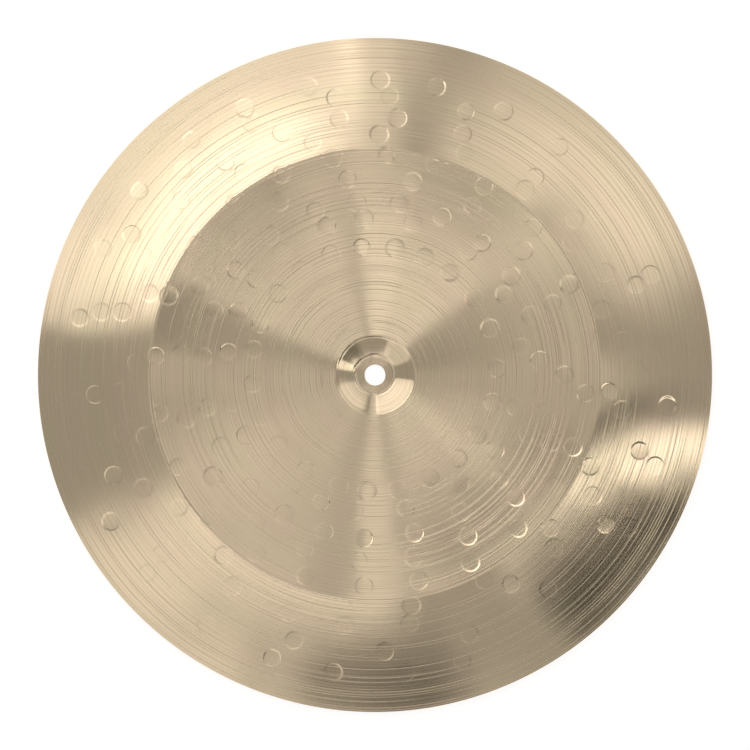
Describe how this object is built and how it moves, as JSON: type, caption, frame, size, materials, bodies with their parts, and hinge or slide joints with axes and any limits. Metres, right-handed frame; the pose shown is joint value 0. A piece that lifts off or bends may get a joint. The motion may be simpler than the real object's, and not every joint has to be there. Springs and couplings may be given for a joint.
{
  "type": "china cymbal",
  "caption": "Round hammered and lathed bronze disc with a small cup-shaped bell, a shallow bow, a sharp bend and a broad upturned flange.",
  "frame": {"origin": "on the disc's axis, at the flat crown of the bell, on which the disc rests bell down", "axes": "+Z along the disc's axis out of its hollow face; +X is the right-hand side of the picture and +Y its top"},
  "size_m": [0.4064, 0.4064, 0.0256],
  "materials": {
    "lathed_bronze": "pale bell bronze with fine lathe rings and hammer marks, clear and bright"
  },
  "bodies": {
    "root": {"cymbal": "lathed_bronze"}
  },
  "joints": []
}
